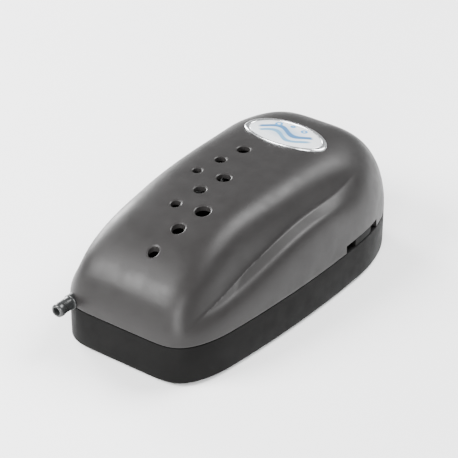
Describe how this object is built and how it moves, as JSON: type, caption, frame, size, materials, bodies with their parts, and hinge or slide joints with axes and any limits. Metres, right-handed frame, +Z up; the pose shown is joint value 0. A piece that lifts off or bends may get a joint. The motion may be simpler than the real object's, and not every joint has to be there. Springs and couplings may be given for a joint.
{
  "type": "aquarium air pump",
  "caption": "Small diaphragm air pump: egg-shaped grey hood on a black base tray, vent holes, oval badge, hose-tail outlet, electromagnet and swing arm inside.",
  "frame": {"origin": "on the floor under the middle of the overall length and width, the outlet nozzle's length included", "axes": "+X from the nose with the air outlet to the rear, +Y towards the side that the outlet is on, +Z up"},
  "size_m": [0.16, 0.0832, 0.0563],
  "materials": {
    "cover": "fine-grained satin",
    "tray": "fine-grained satin",
    "badge": "domed gloss",
    "nozzle": "satin",
    "feet": "matte",
    "soft_rubber": "matte",
    "hose": "satin silicone",
    "inner_plastic": "satin",
    "steel": "plain",
    "zinc": "zinc plated",
    "laminations": "stacked sheet",
    "magnet": "ferrite",
    "copper": "enamelled wire",
    "bronze": "sintered",
    "wire_cover": "soft PVC",
    "felt": "felt"
  },
  "bodies": {
    "housing": {"base_tray": "tray", "top_cover": "cover", "badge": "badge", "rubber_feet": "feet", "cover_screws": "zinc", "filter_pad": "felt", "filter_grille": "tray", "outlet_nozzle": "nozzle", "outlet_hose": "hose", "valve_box": "inner_plastic", "valve_gasket": "soft_rubber", "valve_plate": "inner_plastic", "diaphragm": "soft_rubber", "diaphragm_ring": "inner_plastic", "ring_screws": "zinc", "pivot_pin": "steel", "pivot_bracket": "inner_plastic", "bracket_screws": "zinc", "laminated_core": "laminations", "core_strap": "steel", "strap_screws": "zinc", "coil_bobbin": "inner_plastic", "coil_winding": "copper", "lead_wires": "wire_cover", "wire_connectors": "inner_plastic", "cord_gland": "soft_rubber"},
    "arm": {"swing_arm": "inner_plastic", "pivot_bushes": "bronze", "magnet_holder": "steel", "arm_magnets": "magnet", "diaphragm_washer": "steel", "diaphragm_screw": "zinc"},
    "inlet_valve": {"inlet_flap": "soft_rubber"},
    "outlet_valve": {"outlet_flap": "soft_rubber"}
  },
  "joints": [
    {"name": "arm_swing", "type": "hinge", "parent": "housing", "child": "arm", "pos_m": [-0.058, 0, 0.0285], "axis": [0, 1, 0], "range_deg": [-2, 2], "stiffness_Nm_per_rad": 6, "deforming": ["diaphragm"]},
    {"name": "inlet_flap_lift", "type": "hinge", "parent": "housing", "child": "inlet_valve", "pos_m": [-0.03915, -0.0046, 0.01905], "axis": [0, -1, 0], "range_deg": [0, 12], "stiffness_Nm_per_rad": 0.0002},
    {"name": "outlet_flap_drop", "type": "hinge", "parent": "housing", "child": "outlet_valve", "pos_m": [-0.03915, 0.0046, 0.01565], "axis": [0, 1, 0], "range_deg": [0, 12], "stiffness_Nm_per_rad": 0.0002}
  ]
}
